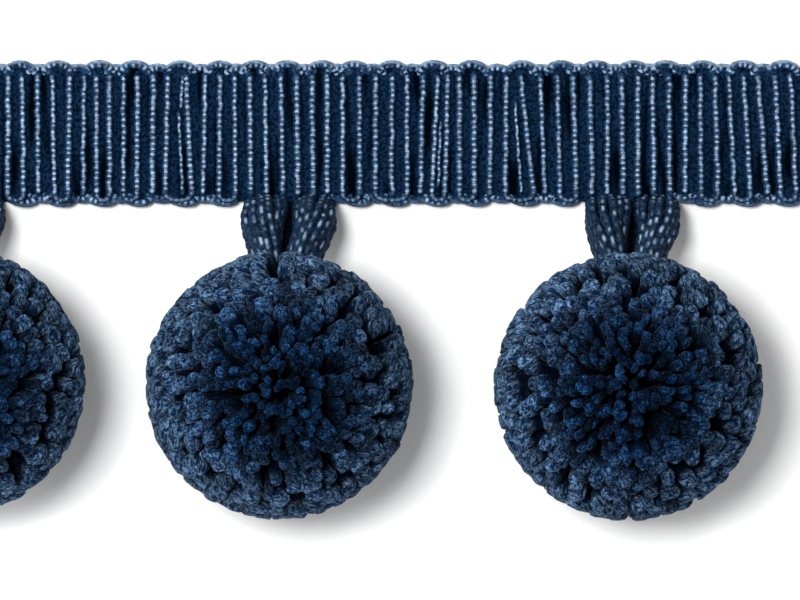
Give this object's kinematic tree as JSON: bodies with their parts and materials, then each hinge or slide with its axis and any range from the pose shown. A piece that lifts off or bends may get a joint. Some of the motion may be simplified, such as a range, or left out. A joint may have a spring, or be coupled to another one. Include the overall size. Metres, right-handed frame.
{
  "type": "pompom fringe trim",
  "caption": "Flat ribbed heading tape with round cut-yarn pompoms hung below it, each on a split hanger of plied yarn.",
  "frame": {"origin": "middle of the heading's flat back face", "axes": "+X along the trim, +Y from the pompoms to the heading, +Z out of the trim's face, up as it lies"},
  "size_m": [0.137, 0.0595, 0.0336],
  "materials": {
    "heading_cord": "silky plied cord in raised ribs over a dark ground cloth",
    "hanger_yarn": "silky plied yarn",
    "pompom_yarn": "soft matt cut yarn"
  },
  "bodies": {
    "root": {"heading": "heading_cord", "hanger_1": "hanger_yarn", "hanger_2": "hanger_yarn", "hanger_3": "hanger_yarn", "pompom_1": "pompom_yarn", "pompom_2": "pompom_yarn", "pompom_3": "pompom_yarn"}
  },
  "joints": []
}
